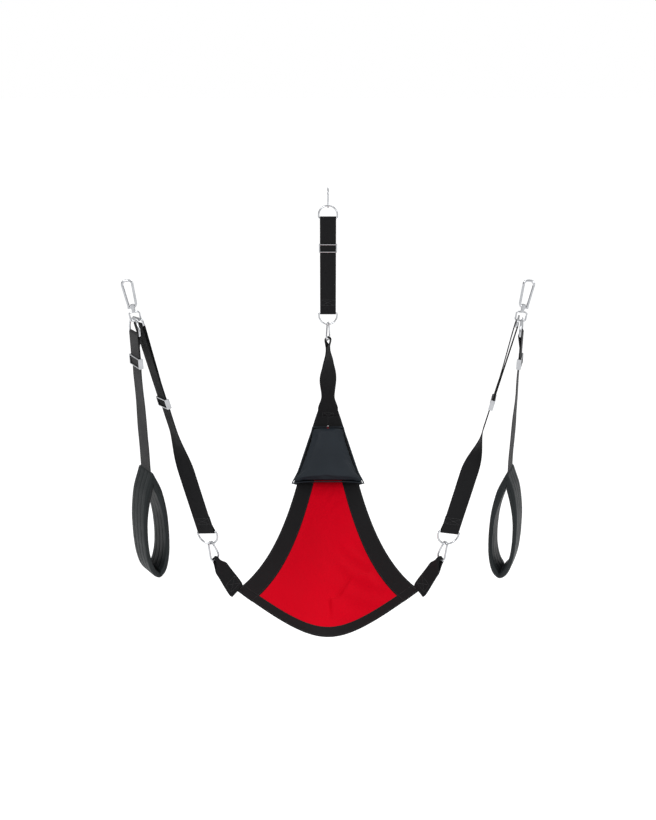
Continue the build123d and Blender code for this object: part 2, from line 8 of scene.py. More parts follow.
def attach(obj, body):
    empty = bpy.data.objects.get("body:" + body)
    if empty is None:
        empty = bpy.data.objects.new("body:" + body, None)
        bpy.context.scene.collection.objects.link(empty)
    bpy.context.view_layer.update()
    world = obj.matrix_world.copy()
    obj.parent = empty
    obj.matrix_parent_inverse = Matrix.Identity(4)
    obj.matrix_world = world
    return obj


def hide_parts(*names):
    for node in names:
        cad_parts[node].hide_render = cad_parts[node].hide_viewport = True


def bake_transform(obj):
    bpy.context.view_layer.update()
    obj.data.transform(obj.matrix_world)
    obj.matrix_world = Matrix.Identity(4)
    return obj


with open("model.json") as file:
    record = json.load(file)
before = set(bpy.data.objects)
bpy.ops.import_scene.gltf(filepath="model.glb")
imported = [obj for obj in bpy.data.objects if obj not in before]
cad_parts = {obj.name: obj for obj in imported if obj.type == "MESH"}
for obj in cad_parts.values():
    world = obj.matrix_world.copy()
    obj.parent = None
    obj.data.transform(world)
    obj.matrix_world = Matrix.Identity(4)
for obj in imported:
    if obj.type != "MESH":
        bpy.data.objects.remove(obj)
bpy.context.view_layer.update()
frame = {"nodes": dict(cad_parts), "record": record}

# Suspension sling: webbing straps, a red cloth hammock, a head cushion and two foot loops.
# Lengths are in millimetres until a mesh is made, and then in metres.
MM = 0.001
SIDES = ("left", "right")

# ---- sizes of the sewn goods, as in the hardware's frame ----
WEB_WIDTH = 48.0
WEB_T = 2.0
WEB_MID = 3.75               # a bar's centre to the middle of the webbing on it
INNER_MID = 1.35             # the running layer, inside the front one
SLIDER_HALF = 12.5
LAYER_SHORT = 1.5            # the front layer ends this far inside the slider's lower rail
SEWN_TAIL = 45.0
SEWN_STRAIGHT = 60.0
FRONT_REACH = 660.0
FRONT_EYE_DROP = 200.0       # origin down to a front eye's bottom wire
HOOK_LEAN = 9.0              # degrees, the top outwards
RING_SIDE = 4.8              # eye's middle to each of its two rings
SWING_LENGTH = 644.0
HEIGHT_TRAVEL = 30.0         # each way, of the sling's height
LOWER_LINK = 85.7            # a strap's lower bar down to the tip of the loop that its snap holds
NECK_Z = -691.2
TOP_PIVOT_Z = -457.2
REAR_BAR_Z = -83.2
REAR_DOUBLED = 89.0
SIDE_DOUBLED = 200.0
STIRRUP_DOUBLED = 68.0
TWIST_LENGTH = 120.0
SNAP_TURN = 68.0
RING_TURN = {"left": 35.0, "right": 14.0}
LOWER_RING_TURN = {"left": 70.0, "right": 80.0}
STIRRUP_TURN = {"left": 35.0, "right": 16.0}
CUFF_TURN = {"left": 39.0, "right": 23.0}
CORNER = Vector((-240.0, -660.0, -934.0))
LOOP_OUTER_R = 9.0
LOOP_HEAD = 30.0
BAND_WIDTH = 50.0
BAND_T = 3.0
CUFF_Z = -580.0
CUFF_HEIGHT = 302.0
CUFF_HALF = 36.5
CUFF_BAND = 68.0
CUFF_PAD = 13.0
CUFF_POINT = 33.8


# ---- mesh helpers ----
def new_piece(name, points, faces, across_along=None, mirrored=False, flat_faces=()):
    """Mesh object from points in millimetres, with its cloth coordinates in metres."""
    flip = -1 if mirrored else 1
    mesh = bpy.data.meshes.new(name)
    if mirrored:
        faces = [tuple(reversed(face)) for face in faces]
    mesh.from_pydata([(flip * p[0] * MM, p[1] * MM, p[2] * MM) for p in points], [], faces)
    if across_along:
        layer = mesh.uv_layers.new(name="cloth")
        for loop in mesh.loops:
            across, along = across_along[loop.vertex_index]
            layer.data[loop.index].uv = (across * MM, along * MM)
    for polygon in mesh.polygons:
        polygon.use_smooth = polygon.index not in flat_faces
    piece = bpy.data.objects.new(name, mesh)
    bpy.context.collection.objects.link(piece)
    return piece


def frame_at(origin, x_dir, z_dir):
    """Matrix of a piece's own frame, with x_dir made square to z_dir."""
    up = Vector(z_dir).normalized()
    across = Vector(x_dir)
    across = (across - up * across.dot(up)).normalized()
    place = Matrix((across, up.cross(across), up)).transposed().to_4x4()
    place.translation = Vector(origin)
    return place


def turned(angle):
    return Vector((math.cos(math.radians(angle)), math.sin(math.radians(angle)), 0))


def smooth(t):
    t = min(max(t, 0.0), 1.0)
    return t * t * (3 - 2 * t)


def mix(a, b, t):
    return a + (b - a) * t


def cloth_piece(name, rows, thickness, mirrored=False):
    """Closed cloth from rows of (point, normal, across, along), soft-edged on its long sides."""
    points, coords, faces = [], [], []
    count = len(rows[0])
    last = count - 1
    for row in rows:
        top, low = [], []
        for index, (point, normal, across, along) in enumerate(row):
            edge = min(index, last - index)
            half = thickness / 2 * (0.3, 0.82, 1.0)[min(edge, 2)]
            top.append((point + normal * half, (across, along)))
            low.append((point - normal * half, (across, along)))
        for point, coord in top + low[::-1]:
            points.append(point)
            coords.append(coord)
    ring = 2 * count
    for r in range(len(rows) - 1):
        for i in range(ring):
            j = (i + 1) % ring
            faces.append((r * ring + i, (r + 1) * ring + i, (r + 1) * ring + j, r * ring + j))
    ends = []
    for start, order in ((0, 1), ((len(rows) - 1) * ring, -1)):
        for i in range(last):
            face = (start + i, start + i + 1, start + ring - 2 - i, start + ring - 1 - i)
            ends.append(len(faces))
            faces.append(face[::order])
    return new_piece(name, points, faces, coords, mirrored, set(ends))


COLUMNS = (-1.0, -0.985, -0.95, -0.8, -0.6, -0.4, -0.2, 0.0, 0.2, 0.4, 0.6, 0.8, 0.95, 0.985, 1.0)


def webbing(name, stations, mirrored=False, thickness=WEB_T):
    """Webbing through stations of (centre, across, half width, cupping)."""
    rows = []
    along = 0.0
    for index, (centre, across, half, cup) in enumerate(stations):
        before = stations[max(index - 1, 0)][0]
        after = stations[min(index + 1, len(stations) - 1)][0]
        if index:
            along += (centre - before).length
        normal = (after - before).cross(across).normalized()
        row = []
        for column in COLUMNS:
            rise = cup * (1 - column * column)
            lean = (normal + across * (2 * cup * column / half)).normalized()
            row.append((centre + across * (column * half) + normal * rise, lean, column * half, along))
        rows.append(row)
    return cloth_piece(name, rows, thickness, mirrored)


def steps_between(a, b, step=5.0, easing=lambda t: t):
    """Path points (offset, height, turn) from a to b, without a itself."""
    count = max(1, round(math.hypot(a[0] - b[0], a[1] - b[1]) / step))
    shares = [(i + 1) / count for i in range(count)]
    return [(mix(a[0], b[0], easing(t)), mix(a[1], b[1], t), mix(a[2], b[2], easing(t))) for t in shares]


def round_bar(start, end, height, turn, radius=WEB_MID):
    """Path points round a bar, from one angle to the other."""
    count = 10
    angles = [math.radians(mix(start, end, i / count)) for i in range(count + 1)]
    return [(radius * math.cos(a), height + radius * math.sin(a), turn) for a in angles]


def strap_stations(place, path, narrow_end=0.0, ripple=0.0, seed=0.0):
    """Stations of a strap from its path in the frame place."""
    stations = []
    end = path[-1][1]
    for offset, height, turn in path:
        angle = math.radians(turn)
        across = Vector((math.cos(angle), math.sin(angle), 0))
        normal = Vector((-math.sin(angle), math.cos(angle), 0))
        half = WEB_WIDTH / 2
        left = abs(height - end)
        if narrow_end and left < narrow_end:
            half *= max(0.12, math.sqrt(max(0.0, 1 - (1 - left / narrow_end) ** 2)))
        wave = ripple * noise.noise(Vector((seed, height / 70, 0)))
        cup = ripple * 0.6 * noise.noise(Vector((seed + 9, height / 110, 3)))
        stations.append((place @ (across * 0 + normal * (offset + wave) + Vector((0, 0, height))),
                         (place.to_3x3() @ across).normalized(), half, cup))
    return stations


# ---- thread ----
class Thread:
    """Stitches of one piece, gathered into a single mesh."""

    def __init__(self, length=3.0, gap=1.0, radius=0.38):
        self.length, self.gap, self.radius = length, gap, radius
        self.points, self.faces = [], []

    def stitch(self, start, end, out):
        along = end - start
        side = along.cross(out).normalized()
        up = side.cross(along).normalized()
        base = len(self.points)
        rings = ((0.0, 0.15), (0.18, 0.85), (0.5, 1.0), (0.82, 0.85), (1.0, 0.15))
        for share, size in rings:
            middle = start + along * share + up * (self.radius * (size - 0.6))
            for k in range(6):
                a = math.tau * k / 6
                offset = side * math.cos(a) + up * (0.75 * math.sin(a))
                self.points.append(middle + offset * (self.radius * size))
        for ring in range(len(rings) - 1):
            for k in range(6):
                a, b = base + ring * 6 + k, base + ring * 6 + (k + 1) % 6
                self.faces.append((a, b, b + 6, a + 6))

    def seam(self, path):
        """Stitches along a path of (point, out)."""
        travelled = 0.0
        pitch = self.length + self.gap
        lengths = [0.0]
        for (a, _), (b, _) in zip(path, path[1:]):
            travelled += (b - a).length
            lengths.append(travelled)
        index = 0
        count = int(travelled / pitch)
        for n in range(count):
            ends = []
            for wanted in (n * pitch + self.gap / 2, n * pitch + self.gap / 2 + self.length):
                while index < len(path) - 2 and lengths[index + 1] < wanted:
                    index += 1
                share = (wanted - lengths[index]) / max(lengths[index + 1] - lengths[index], 1e-6)
                ends.append((path[index][0].lerp(path[index + 1][0], share), path[index][1]))
            self.stitch(ends[0][0], ends[1][0], ends[0][1])

    def box_and_cross(self, place, half, high, low, offset, out):
        """Box with a cross in it, in the plane y = offset of the frame place."""
        corners = [(-half, high), (half, high), (half, low), (-half, low)]
        spots = [place @ Vector((x, offset, z)) for x, z in corners]
        facing = (place.to_3x3() @ Vector((0, out, 0))).normalized()
        for a, b in ((0, 1), (1, 2), (2, 3), (3, 0), (0, 2), (1, 3)):
            self.seam([(spots[a], facing), (spots[b], facing)])

    def make(self, name, body, mirrored=False):
        piece = new_piece(name, self.points, self.faces, None, mirrored)
        piece.data.materials.append(BLACK_THREAD)
        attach(piece, body)
        return piece


# ---- materials ----
def new_material(name, base, roughness, metallic=0.0, **sockets):
    material = bpy.data.materials.new(name)
    material.use_nodes = True
    shader = material.node_tree.nodes["Principled BSDF"]
    shader.inputs["Base Color"].default_value = (*base, 1)
    shader.inputs["Roughness"].default_value = roughness
    shader.inputs["Metallic"].default_value = metallic
    for socket, value in sockets.items():
        shader.inputs[socket.replace("_", " ")].default_value = value
    material.diffuse_color = (*base, 1)
    return material, material.node_tree, shader


def new_group(name, inputs, outputs):
    group = bpy.data.node_groups.new(name, "ShaderNodeTree")
    for label, kind, value in inputs:
        socket = group.interface.new_socket(label, in_out="INPUT", socket_type=kind)
        if value is not None:
            socket.default_value = value
    for label, kind in outputs:
        group.interface.new_socket(label, in_out="OUTPUT", socket_type=kind)
    source = group.nodes.new("NodeGroupInput")
    result = group.nodes.new("NodeGroupOutput")
    return group, source, result


def maths(tree, operation, *values):
    node = tree.nodes.new("ShaderNodeMath")
    node.operation = operation
    for index, value in enumerate(values):
        if isinstance(value, (int, float)):
            node.inputs[index].default_value = value
        else:
            tree.links.new(value, node.inputs[index])
    return node.outputs[0]


def woven_webbing_group():
    """Ribs of yarn along the webbing, each floating over and under in turn."""
    number = "NodeSocketFloat"
    group, source, result = new_group(
        "Woven webbing",
        [("Across", number, 0.0), ("Along", number, 0.0), ("Yarn", number, 0.0016)],
        [("Height", number), ("Shade", number)])
    column = maths(group, "DIVIDE", source.outputs["Across"], source.outputs["Yarn"])
    place = maths(group, "FRACT", column)
    rib = maths(group, "SINE", maths(group, "MULTIPLY", place, math.pi))
    parity = maths(group, "FRACT", maths(group, "MULTIPLY", maths(group, "FLOOR", column), 0.5))
    run = maths(group, "DIVIDE", source.outputs["Along"], source.outputs["Yarn"])
    phase = maths(group, "ADD", maths(group, "MULTIPLY", run, 0.62), parity)
    floats = maths(group, "SINE", maths(group, "MULTIPLY", phase, math.tau))
    height = maths(group, "MULTIPLY", rib, maths(group, "MULTIPLY_ADD", floats, 0.3, 0.7))
    group.links.new(height, result.inputs["Height"])
    # Shade follows the height, so the base colour is darker in the hollows between the ribs: painted shade.
    group.links.new(maths(group, "MULTIPLY_ADD", height, 0.8, 0.2), result.inputs["Shade"])
    return group


def plain_weave_group():
    """Fine over-and-under weave of a light cloth."""
    number = "NodeSocketFloat"
    group, source, result = new_group(
        "Plain weave", [("Across", number, 0.0), ("Along", number, 0.0), ("Pitch", number, 0.0008)],
        [("Height", number)])
    waves = []
    for name in ("Across", "Along"):
        turns = maths(group, "DIVIDE", source.outputs[name], source.outputs["Pitch"])
        waves.append(maths(group, "SINE", maths(group, "MULTIPLY", turns, math.tau)))
    height = maths(group, "MULTIPLY_ADD", maths(group, "MULTIPLY", waves[0], waves[1]), 0.5, 0.5)
    group.links.new(height, result.inputs["Height"])
    return group


def leather_grain_group():
    """Pebbled grain with fine creases between the pebbles."""
    number = "NodeSocketFloat"
    group, source, result = new_group(
        "Leather grain", [("Place", "NodeSocketVector", None), ("Density", number, 700.0)],
        [("Height", number), ("Shade", number)])
    cells = group.nodes.new("ShaderNodeTexVoronoi")
    cells.feature = "DISTANCE_TO_EDGE"
    patches = group.nodes.new("ShaderNodeTexNoise")
    patches.inputs["Scale"].default_value = 14
    patches.inputs["Detail"].default_value = 5
    group.links.new(source.outputs["Place"], cells.inputs["Vector"])
    group.links.new(source.outputs["Density"], cells.inputs["Scale"])
    group.links.new(source.outputs["Place"], patches.inputs["Vector"])
    edge = maths(group, "MULTIPLY", cells.outputs["Distance"], 3.0)
    pebble = maths(group, "POWER", maths(group, "MINIMUM", edge, 1.0), 0.6)
    group.links.new(pebble, result.inputs["Height"])
    group.links.new(patches.outputs["Fac"], result.inputs["Shade"])
    return group


def handling_group():
    """Uneven wear: soft patches, with finer marks inside them."""
    number = "NodeSocketFloat"
    group, source, result = new_group(
        "Handling marks", [("Place", "NodeSocketVector", None), ("Size", number, 12.0)], [("Amount", number)])
    patches = group.nodes.new("ShaderNodeTexNoise")
    patches.inputs["Detail"].default_value = 6
    patches.inputs["Roughness"].default_value = 0.62
    group.links.new(source.outputs["Place"], patches.inputs["Vector"])
    group.links.new(source.outputs["Size"], patches.inputs["Scale"])
    spread = maths(group, "MULTIPLY_ADD", patches.outputs["Fac"], 2.0, -0.5)
    group.links.new(maths(group, "MAXIMUM", maths(group, "MINIMUM", spread, 1.0), 0.0), result.inputs["Amount"])
    return group


WOVEN_WEBBING = woven_webbing_group()
PLAIN_WEAVE = plain_weave_group()
LEATHER_GRAIN = leather_grain_group()
HANDLING = handling_group()


def place_group(tree, group, **values):
    node = tree.nodes.new("ShaderNodeGroup")
    node.node_tree = group
    for name, value in values.items():
        socket = node.inputs[name]
        if isinstance(value, (int, float)):
            socket.default_value = value
        else:
            tree.links.new(value, socket)
    return node


def ramp(tree, factor, low, high):
    node = tree.nodes.new("ShaderNodeMix")
    node.data_type = "RGBA"
    node.inputs["A"].default_value = (*low, 1)
    node.inputs["B"].default_value = (*high, 1)
    tree.links.new(factor, node.inputs["Factor"])
    return node.outputs["Result"]


def spread(tree, factor, low, high):
    return maths(tree, "MULTIPLY_ADD", factor, high - low, low)


def bump(tree, shader, height, strength, distance, before=None):
    node = tree.nodes.new("ShaderNodeBump")
    node.inputs["Strength"].default_value = strength
    node.inputs["Distance"].default_value = distance
    tree.links.new(height, node.inputs["Height"])
    if before is not None:
        tree.links.new(before, node.inputs["Normal"])
    tree.links.new(node.outputs["Normal"], shader.inputs["Normal"])
    return node.outputs["Normal"]


def cloth_coordinates(tree):
    node = tree.nodes.new("ShaderNodeUVMap")
    node.uv_map = "cloth"
    split = tree.nodes.new("ShaderNodeSeparateXYZ")
    tree.links.new(node.outputs["UV"], split.inputs["Vector"])
    return split.outputs["X"], split.outputs["Y"]


def object_place(tree):
    return tree.nodes.new("ShaderNodeTexCoord").outputs["Object"]


def webbing_material(name, dark, light, roughness):
    material, tree, shader = new_material(name, light, roughness, Specular_IOR_Level=0.14)
    across, along = cloth_coordinates(tree)
    weave = place_group(tree, WOVEN_WEBBING, Across=across, Along=along)
    marks = place_group(tree, HANDLING, Place=object_place(tree), Size=16.0)
    # Base colour: painted shade in the weave's hollows, times darker patches of wear.
    hollow_shade_and_wear = maths(tree, "MULTIPLY", weave.outputs["Shade"], spread(tree, marks.outputs["Amount"], 0.7, 1.0))
    tree.links.new(ramp(tree, hollow_shade_and_wear, dark, light), shader.inputs["Base Color"])
    dulled = spread(tree, marks.outputs["Amount"], roughness, roughness + 0.18)
    tree.links.new(dulled, shader.inputs["Roughness"])
    bump(tree, shader, weave.outputs["Height"], 0.55, 0.0004)
    return material


def panel_material():
    material, tree, shader = new_material("Red panel cloth", (0.60, 0.0, 0.012), 0.7,
                                          Specular_IOR_Level=0.04)
    across, along = cloth_coordinates(tree)
    weave = place_group(tree, PLAIN_WEAVE, Across=across, Along=along)
    place = object_place(tree)
    marks = place_group(tree, HANDLING, Place=place, Size=9.0)
    # Base colour: painted shade at the weave's low points, times darker patches of wear.
    hollow_shade_and_wear = maths(tree, "MULTIPLY", spread(tree, weave.outputs["Height"], 0.9, 1.0),
                  spread(tree, marks.outputs["Amount"], 0.86, 1.0))
    tree.links.new(ramp(tree, hollow_shade_and_wear, (0.28, 0.0, 0.004), (0.60, 0.0, 0.010)), shader.inputs["Base Color"])
    tree.links.new(spread(tree, marks.outputs["Amount"], 0.62, 0.8), shader.inputs["Roughness"])
    creases = tree.nodes.new("ShaderNodeTexNoise")
    creases.inputs["Scale"].default_value = 26
    creases.inputs["Detail"].default_value = 4
    creases.inputs["Distortion"].default_value = 0.8
    tree.links.new(place, creases.inputs["Vector"])
    before = bump(tree, shader, weave.outputs["Height"], 0.3, 0.0002)
    bump(tree, shader, creases.outputs["Fac"], 0.25, 0.002, before)
    return material


def leatherette_material(name, dark, light, density, roughness):
    material, tree, shader = new_material(name, light, roughness, Specular_IOR_Level=0.2)
    place = object_place(tree)
    grain = place_group(tree, LEATHER_GRAIN, Place=place, Density=density)
    marks = place_group(tree, HANDLING, Place=place, Size=22.0)
    tree.links.new(ramp(tree, grain.outputs["Shade"], dark, light), shader.inputs["Base Color"])
    dulled = spread(tree, marks.outputs["Amount"], roughness, roughness + 0.16)
    tree.links.new(dulled, shader.inputs["Roughness"])
    before = bump(tree, shader, grain.outputs["Height"], 0.3, 0.0003)
    bump(tree, shader, marks.outputs["Amount"], 0.12, 0.001, before)
    return material


def plate_material(name, base, polished, dull):
    material, tree, shader = new_material(name, base, polished, 1.0)
    place = object_place(tree)
    marks = place_group(tree, HANDLING, Place=place, Size=60.0)
    tree.links.new(spread(tree, marks.outputs["Amount"], polished, dull), shader.inputs["Roughness"])
    tree.links.new(ramp(tree, marks.outputs["Amount"], base, tuple(0.82 * c for c in base)),
                   shader.inputs["Base Color"])
    scratches = tree.nodes.new("ShaderNodeTexNoise")
    scratches.inputs["Scale"].default_value = 900
    tree.links.new(place, scratches.inputs["Vector"])
    bump(tree, shader, scratches.outputs["Fac"], 0.05, 0.0002)
    return material


def thread_material():
    material, tree, shader = new_material("Black thread", (0.03, 0.03, 0.032), 0.45)
    fibres = tree.nodes.new("ShaderNodeTexNoise")
    fibres.inputs["Scale"].default_value = 1500
    tree.links.new(object_place(tree), fibres.inputs["Vector"])
    tree.links.new(ramp(tree, fibres.outputs["Fac"], (0.016, 0.016, 0.018), (0.05, 0.05, 0.053)),
                   shader.inputs["Base Color"])
    bump(tree, shader, fibres.outputs["Fac"], 0.4, 0.0002)
    return material


GRAIN_DENSITY = 620.0
BLACK_WEBBING = webbing_material("Black webbing", (0.002, 0.002, 0.0025), (0.010, 0.010, 0.011), 0.6)
STIRRUP_WEBBING = webbing_material("Grey-black webbing", (0.008, 0.008, 0.0085), (0.036, 0.036, 0.038), 0.5)
RED_CLOTH = panel_material()
CUSHION_SKIN = leatherette_material("Cushion leatherette", (0.006, 0.009, 0.013), (0.013, 0.019, 0.026),
                                    GRAIN_DENSITY, 0.46)
CUFF_SKIN = leatherette_material("Cuff leatherette", (0.006, 0.008, 0.009), (0.014, 0.018, 0.019),
                                 GRAIN_DENSITY, 0.42)
BRIGHT_PLATE = plate_material("Nickel plate", (0.56, 0.57, 0.59), 0.1, 0.24)
SPRING_STEEL = plate_material("Spring steel", (0.52, 0.53, 0.55), 0.25, 0.4)
BLACK_THREAD = thread_material()


def finish_piece(piece, material):
    piece.data.materials.append(material)
    return piece


# ---- straps ----
def adjustable_strap(name, place, doubled, travel, total, twist, bodies, nodes, mirrored=False):
    """Webbing doubled from the upper bar to the slider, then single down to the lower bar."""
    upper, slider, lower = bodies
    over = round_bar(0, 180, 0, 0)
    front = over + steps_between(over[-1], (-WEB_MID, -(doubled + SLIDER_HALF - LAYER_SHORT), 0))
    layer = webbing(name + "_front_layer", strap_stations(place, front), mirrored)
    finish_piece(layer, BLACK_WEBBING)

    meet = -max(doubled - SLIDER_HALF - 1.5 * travel, 0.4 * doubled)
    down = [(WEB_MID, 0, 0)]
    down += steps_between(down[-1], (-INNER_MID, meet, 0))
    straight_low = -(doubled + SLIDER_HALF + 2 * travel)
    down += steps_between(down[-1], (-INNER_MID, straight_low, 0))
    end = -total
    turned_low = max(end + SEWN_STRAIGHT, straight_low - TWIST_LENGTH)
    down += steps_between(down[-1], (-WEB_MID, turned_low, twist), easing=smooth)
    down += steps_between(down[-1], (-WEB_MID, end, twist))
    down += round_bar(180, 360, end, twist)
    down += steps_between(down[-1], (-WEB_MID + WEB_T, end + SEWN_TAIL / 2, twist))
    down += steps_between(down[-1], (-WEB_MID + WEB_T, end + SEWN_TAIL, twist))
    run = webbing(name + "_running_layer", strap_stations(place, down, ripple=0.5, seed=len(name)), mirrored)
    finish_piece(run, BLACK_WEBBING)
    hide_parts(nodes[0])
    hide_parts(nodes[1])

    thread = Thread()
    low = place @ Matrix.Translation((0, 0, end)) @ Matrix.Rotation(math.radians(twist), 4, "Z")
    thread.box_and_cross(low, 20, SEWN_TAIL - 3, SEWN_TAIL / 2 + 2, -WEB_MID - WEB_T / 2, -1)
    thread.box_and_cross(low, 20, SEWN_TAIL - 3, SEWN_TAIL / 2 + 2, -WEB_MID + 1.5 * WEB_T, 1)
    thread.make(name + "_sewn_tail_stitches", lower, mirrored)

    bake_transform(layer)
    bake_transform(run)


def rear_strap():
    place = Matrix.Translation((0, 0, REAR_BAR_Z))
    total = REAR_BAR_Z - TOP_PIVOT_Z - LOWER_LINK
    adjustable_strap("rear_strap", place, REAR_DOUBLED, HEIGHT_TRAVEL, total, 0,
                     ("rear_link_upper", "rear_slider", "rear_link_lower"),
                     ("rear_strap_upper", "rear_strap_lower"))


def joint_place(name):
    """Where a joint of the left side is, in millimetres."""
    joint = JOINTS[name]
    return Vector(joint["pos_m"]) / MM


JOINTS = {joint["name"]: joint for joint in frame["record"]["behaviour"]["joints"]}


def side_bar(side):
    """Frame of a side strap's upper bar, always as made on the left."""
    bar = joint_place(side + "_strap_lean")
    run = Vector(JOINTS[side + "_strap_length"]["axis"])
    if side == "right":
        bar.x, run.x = -bar.x, -run.x
    return frame_at(bar, turned(RING_TURN[side] - 90), -run), run


def loop_tip(side):
    bar, run = side_bar(side)
    tip_z = -FRONT_EYE_DROP + math.sin(math.radians(HOOK_LEAN)) * RING_SIDE - SWING_LENGTH
    length = (tip_z - bar.translation.z) / run.z
    return bar.translation + run * length, length


def side_strap(side):
    bar, _ = side_bar(side)
    _, length = loop_tip(side)
    total = length - LOWER_LINK
    name = side + "_"
    twist = LOWER_RING_TURN[side] - RING_TURN[side]
    adjustable_strap(name + "side_strap", bar, SIDE_DOUBLED, HEIGHT_TRAVEL, total, twist,
                     (name + "strap_upper", name + "slider", name + "strap_lower"),
                     (name + "strap_upper", name + "strap_lower"), side == "right")


def stirrup_strap(side):
    bar = joint_place(side + "_stirrup_sideways")
    mirrored = side == "right"
    if mirrored:
        bar.x = -bar.x
    place = frame_at(bar, turned(STIRRUP_TURN[side] - 90), (0, 0, 1))
    twist = CUFF_TURN[side] - STIRRUP_TURN[side]
    name = side + "_stirrup"
    over = round_bar(0, 180, 0, 0)
    front = over + steps_between(over[-1], (-WEB_MID, -(STIRRUP_DOUBLED + SLIDER_HALF - LAYER_SHORT), 0))
    layer = webbing(name + "_front_layer", strap_stations(place, front), mirrored)
    finish_piece(layer, STIRRUP_WEBBING)
    down = [(WEB_MID, 0, 0)]
    down += steps_between(down[-1], (-INNER_MID, -28, 0))
    down += steps_between(down[-1], (-INNER_MID, -(STIRRUP_DOUBLED + SLIDER_HALF + 50), 0))
    cuff_top = CUFF_Z - bar.z
    down += steps_between(down[-1], (0, down[-1][1] - TWIST_LENGTH, twist), easing=smooth)
    down += steps_between(down[-1], (0, cuff_top + 20, twist))
    down += steps_between(down[-1], (0, cuff_top - CUFF_POINT - 12, twist), step=2.0)
    run = webbing(name + "_running_layer",
                  strap_stations(place, down, narrow_end=17, ripple=1.2, seed=3.0 + len(side)), mirrored)
    finish_piece(run, STIRRUP_WEBBING)
    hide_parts(name + "_strap_upper")
    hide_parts(name + "_strap_lower")
    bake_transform(layer)
    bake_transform(run)


# ---- hammock's surface ----
SPINE = [Vector((0, 0, NECK_Z - 1.8)), Vector((0, -5, NECK_Z - 169)),
         Vector((0, -FRONT_REACH / 2, NECK_Z - 343)), Vector((0, -FRONT_REACH, NECK_Z - 390))]
EDGE = [Vector((32, 0, NECK_Z - 1.8)), Vector((90, -20, NECK_Z - 159)),
        Vector((110, -FRONT_REACH / 2, NECK_Z - 319)), Vector((240, -FRONT_REACH, -934.0))]
SAG_SHAPE = 0.5
FRONT_BAND_U = 0.963
FRONT_BAND_WIDTH = 37.0


def along_curve(points, t):
    shares = ((1 - t) ** 3, 3 * t * (1 - t) ** 2, 3 * t * t * (1 - t), t ** 3)
    return sum((p * s for s, p in zip(shares, points)), Vector((0, 0, 0)))


def sag(v):
    return (math.sqrt(SAG_SHAPE ** 2 + v * v) - SAG_SHAPE) / (math.sqrt(SAG_SHAPE ** 2 + 1) - SAG_SHAPE)


def cloth_point(u, v):
    spine, edge = along_curve(SPINE, u), along_curve(EDGE, u)
    share = sag(v)
    return Vector((v * edge.x, mix(spine.y, edge.y, share), mix(spine.z, edge.z, share)))


def cloth_normal(u, v):
    """Upper side's normal."""
    step = 0.01
    across = cloth_point(u, v + step) - cloth_point(u, v - step)
    down = cloth_point(u + step, v) - cloth_point(u - step, v)
    return down.cross(across).normalized()


def half_arc(u):
    steps = 12
    points = [cloth_point(u, i / steps) for i in range(steps + 1)]
    return sum((b - a).length for a, b in zip(points, points[1:]))


def panel_share(u):
    share = 1 - BAND_WIDTH / half_arc(u)
    return (share + math.hypot(share, 0.12)) / 2


def bell(x, middle, width):
    return math.exp(-((x - middle) / width) ** 2)


def panel_rise(u, v):
    """Wrinkles of the red cloth, in millimetres along its normal."""
    rise = 2.2 * noise.noise(Vector((v * 1.6, u * 5.0, 0.3)))
    # cross wrinkles where the cloth comes out from under the cushion
    rise += 1.3 * bell(u, 0.5, 0.07) * math.sin(95 * (u + 0.05 * v + 0.02 * math.sin(4 * v)))
    # long soft pleats fanning down towards the right-hand edge
    rise += 1.6 * smooth((v + 0.1) / 0.6) * smooth((u - 0.6) / 0.15) * math.sin(60 * u - 14 * v)
    # the folded area by the front right: a raised flap with a sharp upper edge
    edge = 0.845 - 0.05 * smooth((v - 0.05) / 0.75) + 0.012 * math.sin(9 * v)
    side = smooth((v - 0.02) / 0.06)
    rise += 9.0 * side * smooth((u - edge) / 0.012) * (1 - smooth((u - edge) / 0.11))
    return rise * (1 - smooth((abs(v) - 0.82) / 0.16)) * smooth((0.966 - u) / 0.03)


def seat_panel():
    rows = []
    along = 0.0
    count = 130
    last = None
    for r in range(count + 1):
        u = 0.1 + (FRONT_BAND_U + 0.008 - 0.1) * r / count
        reach = panel_share(u) + 6 / half_arc(u)
        here = cloth_point(u, 0)
        along += (here - last).length if last else 0
        last = here
        width = half_arc(u)
        row = []
        for c in range(85):
            v = (2 * c / 84 - 1) * reach
            share = v / max(panel_share(u), 0.05)
            normal = cloth_normal(u, v)
            row.append((cloth_point(u, v) + normal * panel_rise(u, share), normal, v * width, along))
        rows.append(row)
    piece = cloth_piece("red_panel", rows, 1.0)
    finish_piece(piece, RED_CLOTH)
    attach(piece, "hammock")
    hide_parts("seat_panel")


def edge_band(side):
    """Webbing border along one long edge, folded over the cloth and sewn through."""
    flip = -1 if side == "left" else 1
    rows, inner_seam, outer_seam = [], [], []
    along, last = 0.0, None
    count = 120
    for r in range(count + 1):
        u = r / count
        # near the neck the two borders lap over each other on the centre line
        parted = smooth((u - 0.075) / 0.04)
        inner = mix(-0.04 if side == "left" else -0.02, panel_share(u), parted)
        width = half_arc(u)
        here = cloth_point(u, 1)
        along += (here - last).length if last else 0
        last = here
        row = []
        for column in COLUMNS:
            v = mix(inner, 1.0, (column + 1) / 2)
            normal = cloth_normal(u, flip * v)
            crown = 0.5 * noise.noise(Vector((u * 9, column, flip)))
            row.append((cloth_point(u, flip * v) + normal * crown, normal, v * width * flip, along))
        rows.append(row if flip > 0 else row[::-1])
        lift = BAND_T / 2 + 0.3
        for path, share in ((inner_seam, 0.07), (outer_seam, 0.93)):
            v = mix(inner, 1.0, share)
            normal = cloth_normal(u, flip * v)
            path.append((cloth_point(u, flip * v) + normal * lift, normal))
    piece = cloth_piece(side + "_border", rows, BAND_T)
    finish_piece(piece, BLACK_WEBBING)
    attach(piece, "hammock")
    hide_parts(side + "_edge_band")
    thread = Thread(2.8, 1.2, 0.35)
    thread.seam(inner_seam)
    thread.seam(outer_seam)
    thread.make(side + "_border_stitches", "hammock")


